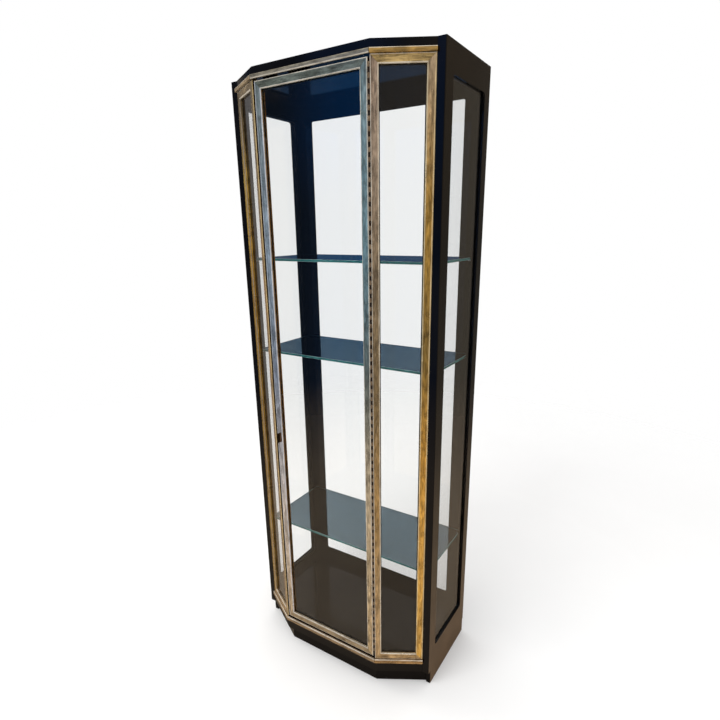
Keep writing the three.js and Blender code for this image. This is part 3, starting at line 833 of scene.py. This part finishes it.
# The frame's leaf has light knuckles and the door's leaf nearly black ones, which gives the
# hinge its dotted line.
light_knuckles = bronze(
    "light_hinge_brass", (0.13, 0.08, 0.045), (0.26, 0.18, 0.11), (0.46, 0.35, 0.23)
)
dark_knuckles = bronze(
    "dark_hinge_bronze", (0.012, 0.007, 0.005), (0.030, 0.016, 0.010), (0.075, 0.040, 0.025)
)
hinge_leaf("hinge_leaf_door", 0, -1, dark_knuckles)
hinge_leaf("hinge_leaf_frame", 1, 1, light_knuckles)

# ---- Glass and small parts ----------------------------------------------------

PANE_ROUNDING = 0.3 * MM
SHELF_ROUNDING = 1.0 * MM
BEAD_ROUNDING = 0.4 * MM
PIN_ROUNDING = 0.25 * MM
CATCH_ROUNDING = 0.6 * MM


def shelf_face(face):
    """1 for the upright ground edge of a shelf, 2 for its rounded corners."""
    if abs(face.normal.z) > 0.95:
        return 0
    return 1 if abs(face.normal.z) < 0.2 else 2


LIP_BRASS_BEAD_X = -158 * MM


def bead_face(face):
    """1 for the door bead's side behind the free stile, which gets the brass of the lip's inner
    side with its painted warm reflection.
    """
    return int(face.calc_center_median().x < LIP_BRASS_BEAD_X)


pane = clear_glass("window_glass", (0.55, 0.86, 0.80), 6.0, wave=0.3)
smoked = clear_glass("shelf_glass", (0.02, 0.20, 0.28), 220.0, smear=0.6, wave=0.1)
shelf_edge = ground_edge("shelf_edge", (0.020, 0.12, 0.12), (0.05, 0.28, 0.27))
shelf_corner = ground_edge("shelf_corner", (0.22, 0.42, 0.43), (0.50, 0.68, 0.68))
bead = bead_material()
metal = steel()
for node, slot in slot_of.items():
    if slot == "window_glass":
        soften(node, PANE_ROUNDING, pane, segments=1)
for level in ("top", "middle", "bottom"):
    shelf_materials = (smoked, shelf_edge, shelf_corner)
    soften(f"shelf_{level}", SHELF_ROUNDING, *shelf_materials, choose=shelf_face)
for node, slot in slot_of.items():
    if node == "door_bead":
        soften(node, BEAD_ROUNDING, bead, inner_side, choose=bead_face)
    elif slot == "bead":
        soften(node, BEAD_ROUNDING, bead)
    elif slot == "steel":
        soften(node, PIN_ROUNDING, metal)
soften("catch_body", CATCH_ROUNDING, catch_plastic())

# ---- Stage, light and camera --------------------------------------------------

FLOOR_RADIUS = 4.0
MIRRORED_FLOOR = (0.56, 0.45, 0.33)
CEILING = (0.50, 0.48, 0.46)
BLUE_GLOW = (0.02, 0.13, 0.42)
WALLS = (  # (part of a full turn from the back over the left, colour) round the cabinet
    (0.00, (0.05, 0.07, 0.10)),
    (0.09, (0.01, 0.05, 0.12)),
    (0.17, (0.10, 0.12, 0.16)),
    (0.245, (0.36, 0.30, 0.22)),
    (0.32, (0.12, 0.15, 0.22)),
    (0.38, (0.035, 0.045, 0.06)),
    (0.42, (0.04, 0.07, 0.13)),
    (0.50, (0.06, 0.10, 0.18)),
    (0.585, (0.22, 0.20, 0.18)),
    (0.68, (0.45, 0.34, 0.20)),
    (0.78, (0.55, 0.42, 0.26)),
    (0.91, (0.20, 0.155, 0.095)),
    (1.00, (0.05, 0.07, 0.10)),
)


def make_floor():
    """A plain pale round floor that fades out, and looks duller in reflections."""
    mesh = bmesh.new()
    bmesh.ops.create_circle(mesh, cap_ends=True, cap_tris=True, segments=96, radius=FLOOR_RADIUS)
    data = bpy.data.meshes.new("floor")
    mesh.to_mesh(data)
    mesh.free()
    floor = bpy.data.objects.new("floor", data)
    bpy.context.scene.collection.objects.link(floor)
    g = MaterialGraph("pale_floor")
    position = g.add("ShaderNodeTexCoord").outputs["Object"]
    length = g.add("ShaderNodeVectorMath", operation="LENGTH")
    g.link(position, length.inputs[0])
    outward = g.math("DIVIDE", length.outputs["Value"], FLOOR_RADIUS)
    soft = g.noise(position, 2.0, 3.0)
    pale = g.ramp(soft, (0.3, (0.93, 0.925, 0.92)), (0.7, (0.95, 0.945, 0.94)))
    colour = g.mix(g.in_reflections(), pale, MIRRORED_FLOOR)
    g.feed(g.shader, Base_Color=colour, Roughness=0.7, Specular_IOR_Level=0.2)
    clear = g.add("ShaderNodeBsdfTransparent")
    blend = g.add("ShaderNodeMixShader")
    g.link(g.ramp(outward, (0.35, 0.0), (0.95, 1.0)), blend.inputs[0])
    g.link(g.shader.outputs[0], blend.inputs[1])
    g.link(clear.outputs[0], blend.inputs[2])
    g.link(blend.outputs[0], g.output.inputs["Surface"])
    data.materials.append(g.material)


def make_surroundings():
    """White to look at, and a dim room of soft coloured walls to reflections."""
    world = bpy.data.worlds.new("studio")
    bpy.context.scene.world = world
    world.use_nodes = True
    world.node_tree.nodes.clear()
    g = Graph(world.node_tree)
    direction = g.add("ShaderNodeTexCoord").outputs["Generated"]
    x, y, z = g.parts(direction)
    turn = g.math("ARCTAN2", x, g.math("MULTIPLY", y, -1.0))
    around = g.math("ADD", g.math("DIVIDE", turn, 2 * math.pi), 0.5)
    in_front = g.ramp(around, (0.388, 0.08), (0.404, 1.0), (0.44, 1.0), (0.52, 0.0))
    high = g.ramp(z, (0.04, 0.25), (0.16, 1.0))
    walls = g.mix(g.math("MULTIPLY", in_front, high), g.ramp(around, *WALLS), BLUE_GLOW)
    room = g.mix(g.ramp(z, (0.35, 0.0), (0.80, 1.0)), walls, CEILING)
    background = g.add("ShaderNodeBackground")
    g.feed(background, Color=g.mix(g.in_reflections(), WHITE, room), Strength=1.0)
    output = g.add("ShaderNodeOutputWorld")
    g.link(background.outputs[0], output.inputs["Surface"])


LIGHT_TARGET = (0, 0, 1.0)


def add_softbox(name, location, size, power, colour):
    """A soft rectangular light aimed at the cabinet, seen neither directly nor in mirrors."""
    light = bpy.data.lights.new(name, "AREA")
    light.shape = "RECTANGLE"
    light.size, light.size_y = size
    light.energy = power
    light.color = colour
    lamp = bpy.data.objects.new(name, light)
    bpy.context.scene.collection.objects.link(lamp)
    lamp.location = location
    aim = Vector(LIGHT_TARGET) - Vector(location)
    lamp.rotation_euler = aim.to_track_quat("-Z", "Y").to_euler()
    lamp.visible_camera = False
    lamp.visible_glossy = False


CAMERA_PLACE = (0.9443, -1.4145, 1.5545)
CAMERA_AZIMUTH = math.radians(32.51)  # turned left from facing the back
CAMERA_PITCH = math.radians(16.77)  # looking down
CAMERA_ROLL = math.radians(-0.8)


def make_camera():
    """The camera, at eye height in front of the right corner."""
    level = math.cos(CAMERA_PITCH)
    forward = Vector(
        (
            -math.sin(CAMERA_AZIMUTH) * level,
            math.cos(CAMERA_AZIMUTH) * level,
            -math.sin(CAMERA_PITCH),
        )
    )
    right = Vector((math.cos(CAMERA_AZIMUTH), math.sin(CAMERA_AZIMUTH), 0))
    up = right.cross(forward)
    tilted_right = right * math.cos(CAMERA_ROLL) + up * math.sin(CAMERA_ROLL)
    tilted_up = up * math.cos(CAMERA_ROLL) - right * math.sin(CAMERA_ROLL)
    rotation = Matrix((tilted_right, tilted_up, -forward)).transposed()
    data = bpy.data.cameras.new("camera")
    camera = bpy.data.objects.new("camera", data)
    bpy.context.scene.collection.objects.link(camera)
    camera.matrix_world = Matrix.Translation(CAMERA_PLACE) @ rotation.to_4x4()
    data.sensor_width = 36
    data.lens = 25.44
    data.shift_x = -0.0056
    data.shift_y = 0.0308
    data.clip_start = 0.05
    bpy.context.scene.camera = camera


make_floor()
make_surroundings()
add_softbox("key", (-0.6, -2.6, 4.3), (2.0, 1.2), 70, WHITE)
add_softbox("fill", (-3.0, -0.6, 2.6), (1.2, 2.0), 20, (1.0, 0.95, 0.88))
make_camera()

scene = bpy.context.scene
scene.view_settings.view_transform = "Standard"
scene.view_settings.look = "None"
scene.cycles.max_bounces = 20
scene.cycles.transmission_bounces = 20
scene.cycles.glossy_bounces = 8
scene.cycles.transparent_max_bounces = 16
scene.cycles.caustics_reflective = True
scene.cycles.caustics_refractive = True
